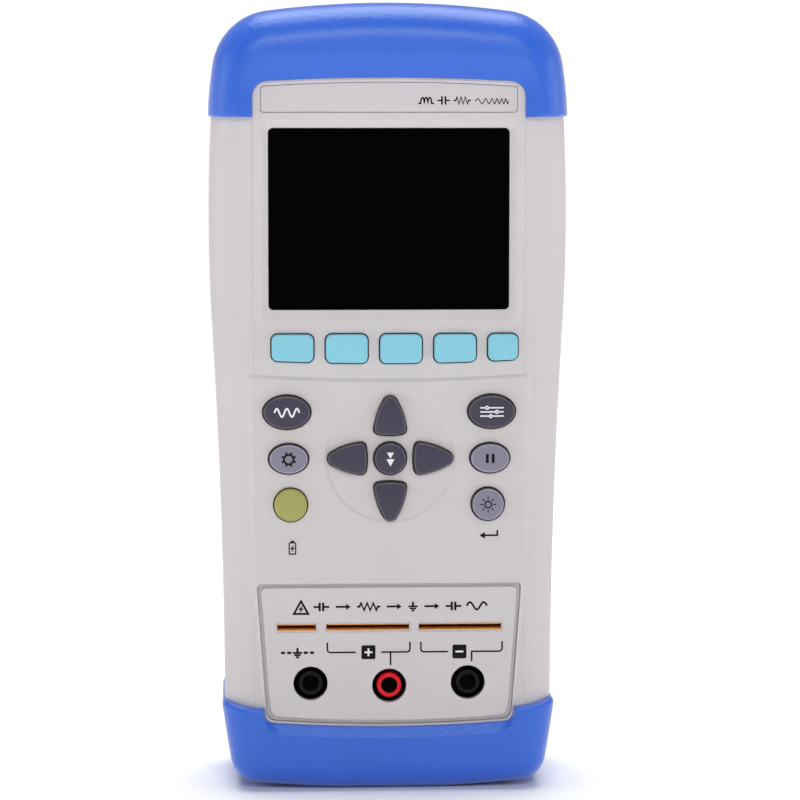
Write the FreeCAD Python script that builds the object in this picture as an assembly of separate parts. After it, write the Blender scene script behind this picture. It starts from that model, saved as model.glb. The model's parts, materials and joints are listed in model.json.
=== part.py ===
"""Handheld LCR meter: two case shells in blue rubber bumpers, display, keypad, test slots and jacks.

Frame: X across, Z up the length, and the display faces -Y. The origin is under the middle of the
lower bumper, on which the meter stands. All sizes are in millimetres.
"""

import FreeCAD
import Part
import math
import os
from FreeCAD import Vector

# Overall sizes.
TOP = 190.0
BUMPER_DEPTH = 20.5
FACE = -18.6
UPPER_FACE = -18.1
BACK = 18.5
WALL = 2.2

# The face: a plateau round the keys and the lower panel, and a shallower one round the display.
PLATEAU_HIGH_X = 33.8
PLATEAU_HIGH_Z = 101.4
PLATEAU_RISE = 1.2
PLATEAU_SLOPE = 0.8
DISPLAY_BAND_X = 32.6
DISPLAY_BAND_STEP = 0.2
BAND_EDGE_X = 46.0
BAND_DROP = 2.3
DISH_RADIUS = 15.0
DISH_DEPTH = 0.2

# Side line of the case: a hollow waist below and a full shoulder above, as two tangent arcs.
WAIST_X = 39.8
WAIST_Z = 20.0
BLEND_Z = 112.0
SHOULDER_X = 43.2
SHOULDER_Z = 138.0
SIDE_SLOPE = 2 * (SHOULDER_X - WAIST_X) / (SHOULDER_Z - WAIST_Z)
HOLLOW_RADIUS = (BLEND_Z - WAIST_Z) / SIDE_SLOPE
SHOULDER_RADIUS = (SHOULDER_Z - BLEND_Z) / SIDE_SLOPE

# Where the bumpers end, and how far the case steps in beneath them.
RIM_LOW = 20.3
RIM_LOW_SIDE = 22.4
RIM_HIGH = 162.8
STEP_IN = 1.2
CORE_FRONT = -17.2
CORE_BACK = 17.3
CORE_LOW = 2.4
CORE_HIGH = 187.6

# Layers behind the face, front to back.
INNER_FRONT = -15.9
INNER_BACK = 16.2
BOARD_FRONT = -9.5
BOARD_BACK = -7.9
PANEL_SEAT = -16.6

# Keys.
KEY_TRAVEL = 0.8
KEY_GAP = 0.3
FLANGE_GROW = 0.5
FLANGE_FRONT = INNER_FRONT + 0.02
FLANGE_BACK = FLANGE_FRONT + 0.7
STEM_RADIUS = 1.7
STEM_END = BOARD_FRONT - KEY_TRAVEL - 0.2
KEY_CENTRE_Z = 81.05

# Test slots and jacks. The jacks are three quarters of an inch apart.
SLOT_Z = 39.98
SLOT_HEIGHT = 1.66
JACK_PITCH = 19.05
JACK_Z = 26.3
JACK_DROP = 0.65
SOCKET_RADIUS = 2.0
POST_RADIUS = 3.0
SHELL_RADIUS = 4.15

# Rear: battery door below, tilt stand above.
DOOR_X = 31.0
DOOR_LOW = 22.6
DOOR_HIGH = 75.4
DOOR_THICK = 1.5
DOOR_SCREW_X = 27.3
STAND_X = 24.0
STAND_LOW = 83.7
HINGE_Z = 150.0
HINGE_Y = 16.75
HINGE_RADIUS = 1.25

TOUCH = 0.01
BIG = 300.0


# ---------------------------------------------------------------- outlines in the XZ plane

def at(x, z, y=0.0):
    return Vector(x, y, z)


def segment(a, b):
    return Part.LineSegment(at(*a), at(*b)).toShape()


def arc(a, middle, b):
    return Part.Arc(at(*a), at(*middle), at(*b)).toShape()


def bow(a, b, rise):
    """Arc from a to b whose middle stands rise off the chord, to the left of the way from a to b."""
    dx = b[0] - a[0]
    dz = b[1] - a[1]
    length = math.hypot(dx, dz)
    middle = ((a[0] + b[0]) / 2 - dz / length * rise, (a[1] + b[1]) / 2 + dx / length * rise)
    return arc(a, middle, b)


def rounded_polygon(points, radius):
    """Closed wire through (x, z) points, with every corner rounded."""
    edges = []
    previous_end = None
    first_start = None
    count = len(points)
    for i in range(count):
        corner = at(*points[i])
        back = (at(*points[i - 1]) - corner).normalize()
        ahead = (at(*points[(i + 1) % count]) - corner).normalize()
        half = math.acos(max(-1.0, min(1.0, back.dot(ahead)))) / 2
        bisector = (back + ahead).normalize()
        start = corner + back * (radius / math.tan(half))
        end = corner + ahead * (radius / math.tan(half))
        middle = corner + bisector * (radius / math.sin(half) - radius)
        if previous_end is not None:
            edges.append(Part.LineSegment(previous_end, start).toShape())
        else:
            first_start = start
        edges.append(Part.Arc(start, middle, end).toShape())
        previous_end = end
    edges.append(Part.LineSegment(previous_end, first_start).toShape())
    return Part.Wire(edges)


def rectangle(x_low, x_high, z_low, z_high, radius):
    corners = [(x_low, z_low), (x_high, z_low), (x_high, z_high), (x_low, z_high)]
    return rounded_polygon(corners, radius)


def ellipse(x, z, width, height):
    """An ellipse or a circle, with its long axis across."""
    if abs(width - height) < 1e-6:
        return Part.Wire([Part.Circle(at(x, z), Vector(0, -1, 0), width / 2).toShape()])
    curve = Part.Ellipse(at(x + width / 2, z), at(x, z + height / 2), at(x, z))
    return Part.Wire([curve.toShape()])


# ---------------------------------------------------------------- solids from outlines

def prism(outline, y_front, y_back):
    solid = Part.Face(outline).extrude(Vector(0, y_back - y_front, 0))
    solid.translate(Vector(0, y_front, 0))
    return solid


def box(x_low, x_high, y_low, y_high, z_low, z_high):
    return Part.makeBox(x_high - x_low, y_high - y_low, z_high - z_low, Vector(x_low, y_low, z_low))


def rod(x, z, radius, y_front, y_back):
    return Part.makeCylinder(radius, y_back - y_front, Vector(x, y_front, z), Vector(0, 1, 0))


def tube(x, z, outer, inner, y_front, y_back):
    return rod(x, z, outer, y_front, y_back).cut(rod(x, z, inner, y_front, y_back))


def along_y(edge):
    a = edge.Vertexes[0].Point
    b = edge.Vertexes[-1].Point
    return len(edge.Vertexes) == 2 and abs(a.x - b.x) < 1e-4 and abs(a.z - b.z) < 1e-4


def round_corners(solid, radius, test=lambda x, z: True):
    """Rounds the edges that run along Y and pass the test on their x and z."""
    chosen = [e for e in solid.Edges if along_y(e) and test(e.Vertexes[0].X, e.Vertexes[0].Z)]
    return solid.makeFillet(radius, chosen)


def rim_edges(solid, y, test=lambda limits: True):
    """Edges in the plane at y that pass the test on their limits."""
    chosen = []
    for edge in solid.Edges:
        limits = edge.BoundBox
        if limits.YLength < 1e-3 and abs(limits.YMin - y) < 1e-3 and test(limits):
            chosen.append(edge)
    return chosen


def round_rim(solid, y, radius):
    """Rounds every edge that lies in the plane at y."""
    return solid.makeFillet(radius, rim_edges(solid, y))


def face_wire(solid, y):
    """Outer wire of the solid's flat face at y."""
    flat = [f for f in solid.Faces if f.BoundBox.YLength < 1e-3 and abs(f.BoundBox.YMin - y) < 1e-3]
    return flat[0].OuterWire


def fused(pieces):
    solid = pieces[0]
    for piece in pieces[1:]:
        solid = solid.fuse(piece)
    return solid.removeSplitter()


PARTS = {}


def keep(name, shape):
    """Stores a finished piece under the name of its node."""
    PARTS[name] = shape


# ---------------------------------------------------------------- case outline and bumpers

def side_x(z):
    """Half the width of the visible case at a height."""
    if z <= WAIST_Z:
        return WAIST_X
    if z <= BLEND_Z:
        return WAIST_X + (z - WAIST_Z) ** 2 / (2 * HOLLOW_RADIUS)
    return SHOULDER_X - (SHOULDER_Z - z) ** 2 / (2 * SHOULDER_RADIUS)


def case_outline(inset, z_low, z_high, low_rise=0.0, high_rise=0.0):
    """The case seen from the front with sharp corners: inset is how far the sides lie inside."""
    def point(sign, z):
        return (sign * (side_x(z) - inset), z)

    def side(sign):
        hollow_middle = (WAIST_Z + BLEND_Z) / 2
        shoulder_middle = (BLEND_Z + z_high) / 2
        pieces = []
        if z_low < WAIST_Z:
            pieces.append(segment(point(sign, z_low), point(sign, WAIST_Z)))
            hollow_start = WAIST_Z
        else:
            hollow_start = z_low
            hollow_middle = (z_low + BLEND_Z) / 2
        pieces.append(arc(point(sign, hollow_start), point(sign, hollow_middle), point(sign, BLEND_Z)))
        pieces.append(arc(point(sign, BLEND_Z), point(sign, shoulder_middle), point(sign, z_high)))
        return pieces

    def end(z, rise):
        a = point(-1, z)
        b = point(1, z)
        return bow(a, b, rise) if rise else segment(a, b)

    edges = side(1) + [end(z_high, high_rise)] + side(-1) + [end(z_low, low_rise)]
    return Part.Wire(Part.__sortEdges__(edges))


def pillow(outline, y_front, y_back, high_corner, low_corner, front_round, back_round):
    """A slab with rounded corners and rounded front and back rims."""
    solid = prism(outline, y_front, y_back)
    solid = round_corners(solid, high_corner, lambda x, z: z > 100)
    solid = round_corners(solid, low_corner, lambda x, z: z < 15)
    solid = round_rim(solid, y_front, front_round)
    return round_rim(solid, y_back, back_round)


PANEL_HIGH_Z = 50.6
PANEL_LOW_Z = 17.35
PANEL_HIGH_X = 31.95
PANEL_LEAN = 0.0717


def panel_side_x(z, grow):
    """Half the panel's width at a height, grown outwards."""
    return PANEL_HIGH_X + grow - PANEL_LEAN * (PANEL_HIGH_Z + grow - z)


def panel_outline(grow_side, grow_low, low_corner=2.4):
    """Edge of the terminal panel, wider above than below, with a bowed lower edge."""
    high_z = PANEL_HIGH_Z + grow_side
    low_z = PANEL_LOW_Z - grow_low
    high_x = panel_side_x(high_z, grow_side)
    low_x = panel_side_x(low_z, grow_side)
    edges = [
        segment((-high_x, high_z), (high_x, high_z)),
        segment((high_x, high_z), (low_x, low_z)),
        bow((low_x, low_z), (-low_x, low_z), 1.2),
        segment((-low_x, low_z), (-high_x, high_z)),
    ]
    block = prism(Part.Wire(edges), 0, 1)
    block = round_corners(block, 1.2, lambda x, z: z > 40)
    block = round_corners(block, low_corner, lambda x, z: z < 30)
    return face_wire(block, 0)


def window_outline(grow, grow_high):
    """Opening of the upper bumper round the name plate: straight sides and an arched top."""
    half = DISPLAY_BAND_X + grow
    shoulder = 171.15 + grow_high
    low = 150.0
    edges = [
        segment((-half, low), (half, low)),
        segment((half, low), (half, shoulder)),
        bow((half, shoulder), (-half, shoulder), -1.0),
        segment((-half, shoulder), (-half, low)),
    ]
    block = prism(Part.Wire(edges), 0, 1)
    block = round_corners(block, 3.6 + grow, lambda x, z: z > 160)
    return face_wire(block, 0)


def between_bumpers(inset):
    """Block over the height that the bumpers leave open: the lower rim climbs a little at the sides."""
    low = RIM_LOW + inset
    side = RIM_LOW_SIDE + inset
    edges = [
        segment((-31.0, low), (31.0, low)),
        bow((31.0, low), (42.0, side), -0.3),
        segment((42.0, side), (60.0, side + 6.0)),
        segment((60.0, side + 6.0), (60.0, RIM_HIGH - inset)),
        segment((60.0, RIM_HIGH - inset), (-60.0, RIM_HIGH - inset)),
        segment((-60.0, RIM_HIGH - inset), (-60.0, side + 6.0)),
        segment((-60.0, side + 6.0), (-42.0, side)),
        bow((-42.0, side), (-31.0, low), -0.3),
    ]
    return prism(Part.Wire(edges), -BIG, BIG)


def moved(wire, y):
    copy = wire.copy()
    copy.translate(Vector(0, y, 0))
    return copy


def side_edges(solid, test):
    """Long upright edges near the sides of the case whose limits pass the test."""
    chosen = []
    for edge in solid.Edges:
        limits = edge.BoundBox
        if limits.ZLength > 5 and min(abs(limits.XMin), abs(limits.XMax)) > 36 and test(limits):
            chosen.append(edge)
    return chosen


def side_band_cut(sign):
    """Block that takes the side band of the face back: a small step, then a gentle slope to the side."""
    near = sign * DISPLAY_BAND_X
    far = sign * BAND_EDGE_X
    corners = [
        Vector(near, UPPER_FACE + DISPLAY_BAND_STEP, 0),
        Vector(far, UPPER_FACE + BAND_DROP, 0),
        Vector(far, UPPER_FACE - 2, 0),
        Vector(near, UPPER_FACE - 2, 0),
    ]
    return Part.Face(Part.makePolygon(corners + [corners[0]])).extrude(Vector(0, 0, 200))


def plateau_outline(grow):
    """Edge of the plateau, whose sides run down into the rim of the lower panel."""
    low = 10.0
    rim = 1.0
    corner_z = PANEL_HIGH_Z + rim
    corner_x = panel_side_x(corner_z, rim) + grow
    low_x = panel_side_x(low, rim) + grow
    high_x = PLATEAU_HIGH_X + grow
    high_z = PLATEAU_HIGH_Z + grow
    edges = [
        segment((-low_x, low), (low_x, low)),
        segment((low_x, low), (corner_x, corner_z)),
        segment((corner_x, corner_z), (high_x, high_z)),
        bow((high_x, high_z), (-high_x, high_z), PLATEAU_RISE),
        segment((-high_x, high_z), (-corner_x, corner_z)),
        segment((-corner_x, corner_z), (-low_x, low)),
    ]
    block = prism(Part.Wire(edges), 0, 1)
    block = round_corners(block, 1.5 + grow, lambda x, z: z > 90)
    return face_wire(block, 0)


def plateau():
    """Raised part of the face round the keys, with a sloping rim."""
    step = UPPER_FACE - FACE
    depth = step + BAND_DROP
    foot_grow = PLATEAU_SLOPE * (depth / step - 1)
    return Part.makeLoft([moved(plateau_outline(-PLATEAU_SLOPE), FACE),
                          moved(plateau_outline(foot_grow), FACE + depth)], True, True)


def arrow_dish():
    """Shallow dish under the cross of arrow keys, with a soft rim."""
    flare = 0.8
    centre = Vector(KEY_X, FACE - TOUCH, KEY_CENTRE_Z)
    return Part.makeCone(DISH_RADIUS + flare, DISH_RADIUS, DISH_DEPTH + TOUCH, centre, Vector(0, 1, 0))


def case_body():
    """Outside of the two shells together: a core under the bumpers, and the visible case over it."""
    core = pillow(case_outline(STEP_IN, CORE_LOW + 0.9, CORE_HIGH - 1.6, -0.9, 1.6),
                  CORE_FRONT, CORE_BACK, 13.6, 7.5, 6.0, 6.0)
    visible = prism(case_outline(0.0, 5.0, 180.0), UPPER_FACE, BACK)
    for sign in (-1, 1):
        visible = visible.cut(side_band_cut(sign))
    visible = visible.makeFillet(8.0, side_edges(visible, lambda limits: limits.YMax < -10))
    visible = visible.makeFillet(9.0, side_edges(visible, lambda limits: limits.YMin > BACK - 0.1))
    visible = visible.fuse(plateau()).cut(arrow_dish())

    band = between_bumpers(0.0)
    upper_window = prism(window_outline(0.0, 0.0), -BIG, -8.0)
    lower_window = prism(panel_outline(0.5, 0.5), -BIG, -8.0)
    shown = fused([visible.common(band), visible.common(upper_window), visible.common(lower_window)])
    return fused([core, shown])


def case_cavity():
    """The space inside the two shells."""
    inset = STEP_IN + WALL
    ends = pillow(case_outline(inset, CORE_LOW + 3.0, CORE_HIGH - 3.8, -0.9, 1.6),
                  INNER_FRONT, INNER_BACK, 11.5, 5.6, 4.2, 4.2)
    middle = prism(case_outline(WALL, 24.0, 158.0), INNER_FRONT, INNER_BACK)
    sides = [e for e in middle.Edges if e.BoundBox.ZLength > 5 and e.BoundBox.YLength < 1e-3]
    middle = middle.makeFillet(6.0, sides)
    return ends.fuse(middle)


CAP_X = 43.25
CAP_FLAT_Z = 161.0
CAP_SIDE_RADIUS = 85.0
CAP_CORNER = 15.1
CAP_RIM_ROUND = 0.8
CAP_CREASE = 1.4
SHOE_HIGH_X = 41.5
SHOE_LOW_X = 37.4
SHOE_LOW_Z = 1.9
SOLE_X = 13.0
SHOE_RIM_ROUND = 1.1
FLARE_SIDE = 0.8
FLARE_DROP = 3.1
FLARE_CORNER = 5.0


def cap_side_x(z):
    return CAP_X - (z - CAP_FLAT_Z) ** 2 / (2 * CAP_SIDE_RADIUS)


def upper_bumper_slab():
    """Block with the outside of the upper bumper: bowed sides that lean in, and a bowed top."""
    low = 150.0
    corner_z = 186.5
    corner_x = cap_side_x(corner_z)
    bend_z = (CAP_FLAT_Z + corner_z) / 2
    rise = TOP - corner_z
    edges = [
        segment((-CAP_X, low), (CAP_X, low)),
        segment((CAP_X, low), (CAP_X, CAP_FLAT_Z)),
        arc((CAP_X, CAP_FLAT_Z), (cap_side_x(bend_z), bend_z), (corner_x, corner_z)),
        bow((corner_x, corner_z), (-corner_x, corner_z), -rise),
        arc((-corner_x, corner_z), (-cap_side_x(bend_z), bend_z), (-CAP_X, CAP_FLAT_Z)),
        segment((-CAP_X, CAP_FLAT_Z), (-CAP_X, low)),
    ]
    solid = prism(Part.Wire(edges), -BUMPER_DEPTH, BUMPER_DEPTH)
    solid = round_corners(solid, CAP_CORNER, lambda x, z: z > 180)
    for y, radius in ((-BUMPER_DEPTH, 9.0), (BUMPER_DEPTH, 8.0)):
        solid = solid.makeFillet(radius, rim_edges(solid, y, lambda limits: limits.ZMax > low + 1))
    return solid


def lower_bumper_slab():
    """Block with the outside of the lower bumper: bowed sides that lean in, and a nearly flat sole."""
    high = 30.0
    side_rise = 0.35
    sole_rise = 0.2
    edges = [
        segment((SHOE_HIGH_X, high), (-SHOE_HIGH_X, high)),
        bow((-SHOE_HIGH_X, high), (-SHOE_LOW_X, SHOE_LOW_Z), -side_rise),
        bow((-SHOE_LOW_X, SHOE_LOW_Z), (-SOLE_X, 0.0), -sole_rise),
        segment((-SOLE_X, 0.0), (SOLE_X, 0.0)),
        bow((SOLE_X, 0.0), (SHOE_LOW_X, SHOE_LOW_Z), -sole_rise),
        bow((SHOE_LOW_X, SHOE_LOW_Z), (SHOE_HIGH_X, high), -side_rise),
    ]
    solid = prism(Part.Wire(edges), -BUMPER_DEPTH, BUMPER_DEPTH)
    solid = round_corners(solid, 7.0, lambda x, z: abs(x) > 37 and z < 5)
    for y, radius in ((-BUMPER_DEPTH, 6.8), (BUMPER_DEPTH, 5.0)):
        solid = solid.makeFillet(radius, rim_edges(solid, y, lambda limits: limits.ZMin < high - 1))
    return solid


def round_cut(solid, test, radius):
    """Rounds the edges left by a cut: those whose middle passes the test."""
    chosen = []
    for edge in solid.Edges:
        middle = edge.valueAt((edge.FirstParameter + edge.LastParameter) / 2)
        if test(middle):
            chosen.append(edge)
    return solid.makeFillet(radius, chosen)


def make_bumpers(body):
    upper = upper_bumper_slab().common(box(-BIG, BIG, -BIG, BIG, RIM_HIGH, BIG))
    upper = round_cut(upper, lambda middle: abs(middle.z - RIM_HIGH) < 1e-3, CAP_RIM_ROUND)
    upper = upper.cut(prism(window_outline(0.0, 0.0), -BIG, -8.0))
    crease = Part.makeLoft([moved(window_outline(4.3, 6.0), -BUMPER_DEPTH),
                            moved(window_outline(0.0, 0.0), -BUMPER_DEPTH + CAP_CREASE)], True, True)
    upper = upper.cut(crease)
    keep("upper_bumper", upper.cut(body))

    lower = lower_bumper_slab().cut(between_bumpers(0.0))
    lower = round_cut(lower, lambda middle: middle.z > RIM_LOW - 0.1, SHOE_RIM_ROUND)
    lower = lower.cut(prism(panel_outline(0.5, 0.5), -BIG, -8.0))
    flare_rim = moved(panel_outline(FLARE_SIDE, FLARE_DROP, FLARE_CORNER), -BUMPER_DEPTH - 0.1)
    flare = Part.makeLoft([moved(panel_outline(0.5, 0.5), FACE - 0.6), flare_rim], True, True)
    keep("lower_bumper", lower.cut(flare).cut(body))


# ---------------------------------------------------------------- keys

def soft_key_outline(x, width):
    """Key under the display: a straight top, and a foot that follows a shallow bow."""
    high = 110.95
    foot_radius = 600.0

    def outline(grow):
        x_low = x - width / 2 - grow
        x_high = x + width / 2 + grow
        foot = 104.0 - grow
        points = [
            (x_low, foot + x_low ** 2 / (2 * foot_radius)),
            (x_high, foot + x_high ** 2 / (2 * foot_radius)),
            (x_high, high + grow),
            (x_low, high + grow),
        ]
        return rounded_polygon(points, 1.5 + grow)
    return outline


def oval_outline(x, z, width, height):
    def outline(grow):
        return ellipse(x, z, width + 2 * grow, height + 2 * grow)
    return outline


def arrow_outline(turns):
    """Pick-shaped key that points away from the middle of the cross, turned by quarter turns."""
    def outline(grow):
        base = 5.6 - grow
        tip = 16.25 + grow * 1.6
        half = 3.95 + grow
        edges = [
            bow((half, base + 0.55), (0.0, tip), -0.95),
            bow((0.0, tip), (-half, base + 0.55), -0.95),
            bow((-half, base + 0.55), (half, base + 0.55), -0.55),
        ]
        block = prism(Part.Wire(edges), 0, 1)
        block = round_corners(block, 1.7 + grow, lambda x, z: z > tip - 1)
        block = round_corners(block, 1.2 + grow, lambda x, z: z < tip - 1)
        wire = face_wire(block, 0)
        wire.rotate(Vector(0, 0, 0), Vector(0, 1, 0), 90.0 * turns)
        wire.translate(Vector(KEY_X, 0, KEY_CENTRE_Z))
        return wire
    return outline


SOFT_WIDTH = 10.0
SOFT_PITCH = 13.0
SOFT_FIRST_X = -23.2
SOFT_Z = 107.5
LAST_SOFT_X = 27.3
LAST_SOFT_WIDTH = 7.1
OVAL_X = 24.6
OVAL_Z = 92.3
SMALL_OVAL_X = 24.2
ROUND_X = 23.75
ROUND_Z = 69.9
KEY_X = 0.2
ARROW_REACH = 10.0
PROUD = 1.7
PROUD_LESS = 1.5
DOME = 30.0
DOME_FLAT = 38.0


def oval_key(x, z, width, height, proud, dome):
    return (oval_outline(x, z, width, height), x, z, FACE, proud, dome)


def arrow_key(turns, x, z):
    return (arrow_outline(turns), x, z, FACE, PROUD, DOME)


# name: (outline, centre x, centre z, face it stands on, how proud it is, dome radius or None)
KEYS = {}
for number in range(4):
    soft_x = SOFT_FIRST_X + number * SOFT_PITCH
    soft_outline = soft_key_outline(soft_x, SOFT_WIDTH)
    KEYS["key_soft_%d" % (number + 1)] = (soft_outline, soft_x, SOFT_Z, UPPER_FACE, PROUD_LESS, None)
last_outline = soft_key_outline(LAST_SOFT_X, LAST_SOFT_WIDTH)
KEYS["key_soft_5"] = (last_outline, LAST_SOFT_X, SOFT_Z, UPPER_FACE, PROUD_LESS, None)
KEYS["key_measure"] = oval_key(-OVAL_X, OVAL_Z, 11.3, 8.0, PROUD, DOME_FLAT)
KEYS["key_setup"] = oval_key(OVAL_X, OVAL_Z, 11.3, 8.0, PROUD, DOME_FLAT)
KEYS["key_system"] = oval_key(-SMALL_OVAL_X, KEY_CENTRE_Z, 9.4, 7.1, PROUD, DOME)
KEYS["key_hold"] = oval_key(SMALL_OVAL_X, KEY_CENTRE_Z, 9.4, 7.1, PROUD, DOME)
KEYS["key_power"] = oval_key(-ROUND_X, ROUND_Z, 7.9, 7.9, PROUD_LESS, DOME)
KEYS["key_light"] = oval_key(ROUND_X, ROUND_Z, 7.8, 7.8, PROUD, DOME)
KEYS["key_enter"] = oval_key(KEY_X, KEY_CENTRE_Z, 7.7, 7.7, PROUD, DOME)
KEYS["key_up"] = arrow_key(0, KEY_X, KEY_CENTRE_Z + ARROW_REACH)
KEYS["key_right"] = arrow_key(1, KEY_X + ARROW_REACH, KEY_CENTRE_Z)
KEYS["key_down"] = arrow_key(2, KEY_X, KEY_CENTRE_Z - ARROW_REACH)
KEYS["key_left"] = arrow_key(3, KEY_X - ARROW_REACH, KEY_CENTRE_Z)


def make_keys():
    for name, (outline, x, z, face, proud, dome) in KEYS.items():
        top = face - proud
        cap = prism(outline(0.0), top, FLANGE_FRONT)
        if dome:
            ball = Part.makeSphere(dome, Vector(x, top + dome, z))
            cap = cap.common(ball)
        rim = [e for e in cap.Edges if e.BoundBox.YMax < face - 0.3]
        cap = cap.makeFillet(0.5, rim)
        flange = prism(outline(FLANGE_GROW), FLANGE_FRONT, FLANGE_BACK)
        stem = rod(x, z, STEM_RADIUS, FLANGE_BACK, STEM_END)
        keep(name, fused([cap, flange, stem]))


def make_keypad_mat():
    sheet = prism(rectangle(-33.0, 33.0, 63.0, 112.6, 2.0), FLANGE_FRONT, FLANGE_BACK)
    for outline, x, z, face, proud, dome in KEYS.values():
        sheet = sheet.cut(prism(outline(FLANGE_GROW + 0.3), FLANGE_FRONT - 1, FLANGE_BACK + 1))
    keep("keypad_mat", sheet.Solids[0] if len(sheet.Solids) == 1 else Part.makeCompound(sheet.Solids))


# ---------------------------------------------------------------- front and rear shells

CASE_SCREWS = [(-30.0, 175.0), (30.0, 175.0), (-32.0, 9.6), (32.0, 9.6)]
BOARD_SCREWS = [(-28.5, 166.6), (28.5, 166.6), (-28.5, 56.6), (28.5, 56.6)]
USB_Z = 68.0
SLOTS = {"guard": (-22.4, 9.3), "high": (-5.2, 20.0), "low": (17.15, 20.0)}
JACKS = {
    "guard": (-JACK_PITCH, JACK_Z),
    "high": (0.0, JACK_Z - JACK_DROP),
    "low": (JACK_PITCH, JACK_Z),
}


def name_plate_outline(grow):
    half = 30.55 + grow
    low = 164.0 - grow
    high = 169.95 + grow
    edges = [
        segment((-half, low), (half, low)),
        segment((half, low), (half, high)),
        bow((half, high), (-half, high), -1.0),
        segment((-half, high), (-half, low)),
    ]
    return face_wire(round_corners(prism(Part.Wire(edges), 0, 1), 0.8), 0)


def seam_groove():
    """Thin channel that shows where the two shells meet."""
    outer = prism(case_outline(-3.0, 12.0, 175.0), -0.18, 0.18)
    inner = prism(case_outline(0.3, 11.0, 176.0), -0.5, 0.5)
    return outer.cut(inner).common(between_bumpers(0.3))


def make_front_case(shell):
    case = shell.common(box(-BIG, BIG, -BIG, 0.0, -BIG, BIG))
    window_frame = prism(rectangle(-32.5, 32.5, 112.9, 164.0, 1.5), INNER_FRONT - TOUCH, INNER_FRONT + 1.1)
    panel_ring = prism(panel_outline(1.5, 1.2), INNER_FRONT - TOUCH, INNER_FRONT + 1.0)
    panel_ring = panel_ring.common(case_cavity_block)
    bosses = [rod(x, z, 3.1, INNER_FRONT - TOUCH, 0.0) for x, z in CASE_SCREWS]
    bosses += [rod(x, z, 2.4, INNER_FRONT - TOUCH, BOARD_FRONT) for x, z in BOARD_SCREWS]
    case = fused([case, window_frame, panel_ring] + bosses)

    bevel = Part.makeLoft([moved(rectangle(-30.4, 30.4, 114.2, 162.0, 1.6), UPPER_FACE - TOUCH),
                           moved(rectangle(-28.9, 28.9, 116.7, 160.2, 1.2), UPPER_FACE + 1.0)], True, True)
    pocket = prism(rectangle(-28.9, 28.9, 116.7, 160.2, 1.2), UPPER_FACE + 0.9, UPPER_FACE + 2.3)
    opening = prism(rectangle(-27.9, 27.9, 117.7, 159.2, 0.8), -BIG, -10.0)
    cuts = [bevel, pocket, opening]
    cuts.append(prism(name_plate_outline(0.16), UPPER_FACE - 1, UPPER_FACE + 0.5))
    cuts.append(prism(panel_outline(0.0, 0.0), FACE - 1, PANEL_SEAT))
    cuts.append(prism(panel_outline(-1.7, -1.7), PANEL_SEAT - 1, -10.0))
    cuts += [prism(outline(KEY_GAP), FACE - 1, INNER_FRONT + 0.1) for outline, *rest in KEYS.values()]
    cuts += [rod(x, z, 1.25, -13.5, 1.0) for x, z in CASE_SCREWS]
    cuts += [rod(x, z, 1.0, -15.0, -5.0) for x, z in BOARD_SCREWS]
    cuts.append(usb_hole())
    cuts.append(seam_groove())
    for tool in cuts:
        case = case.cut(tool)
    keep("front_case", case)


def usb_hole():
    hole = box(35.0, 48.0, -8.4, -3.4, USB_Z - 4.4, USB_Z + 4.4)
    chosen = [e for e in hole.Edges if e.BoundBox.XLength > 5]
    return hole.makeFillet(0.8, chosen)


def make_rear_case(shell):
    case = shell.common(box(-BIG, BIG, 0.0, BIG, -BIG, BIG))
    tub = box(-24.0, 24.0, 3.9, INNER_BACK + TOUCH, 23.9, 74.1)
    stand_back = box(-28.5, 28.5, 13.2, INNER_BACK + TOUCH, 75.5, 154.6)
    scoop_back = box(-11.0, 11.0, 11.9, INNER_BACK + TOUCH, 75.5, 85.5)
    bosses = [rod(x, z, 3.3, 0.0, INNER_BACK + TOUCH) for x, z in CASE_SCREWS]
    bosses += [rod(side * DOOR_SCREW_X, 49.0, 2.7, 8.0, INNER_BACK + TOUCH) for side in (-1, 1)]
    case = fused([case, tub, stand_back, scoop_back] + bosses)

    cuts = [box(-22.7, 22.7, 5.2, BIG, 25.2, 72.8)]
    door_room = rectangle(-DOOR_X - 0.2, DOOR_X + 0.2, DOOR_LOW - 0.2, DOOR_HIGH + 0.2, 3.0)
    cuts.append(prism(door_room, BACK - DOOR_THICK, BACK + 5))
    recess = rectangle(-STAND_X - 0.4, STAND_X + 0.4, STAND_LOW - 0.4, HINGE_Z + 2.3, 1.5)
    cuts.append(prism(recess, 15.0, BACK + 5))
    cuts.append(prism(rectangle(-9.0, 9.0, 77.0, STAND_LOW + 1.0, 2.5), 13.6, BACK + 5))
    bearing = 27.2
    cuts.append(Part.makeCylinder(HINGE_RADIUS + 0.05, 2 * bearing, Vector(-bearing, HINGE_Y, HINGE_Z),
                                  Vector(1, 0, 0)))
    for x, z in CASE_SCREWS:
        cuts.append(rod(x, z, 1.7, -1.0, BACK + 5))
        cuts.append(rod(x, z, 3.0, 12.0, BACK + 5))
    for side in (-1, 1):
        cuts.append(rod(side * DOOR_SCREW_X, 49.0, 1.17, 9.0, BACK + 5))
    cuts.append(box(-7.0, 7.0, 3.0, 6.0, 66.0, 71.0))
    cuts.append(seam_groove())
    for tool in cuts:
        case = case.cut(tool)
    keep("rear_case", case)


# ---------------------------------------------------------------- display

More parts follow.
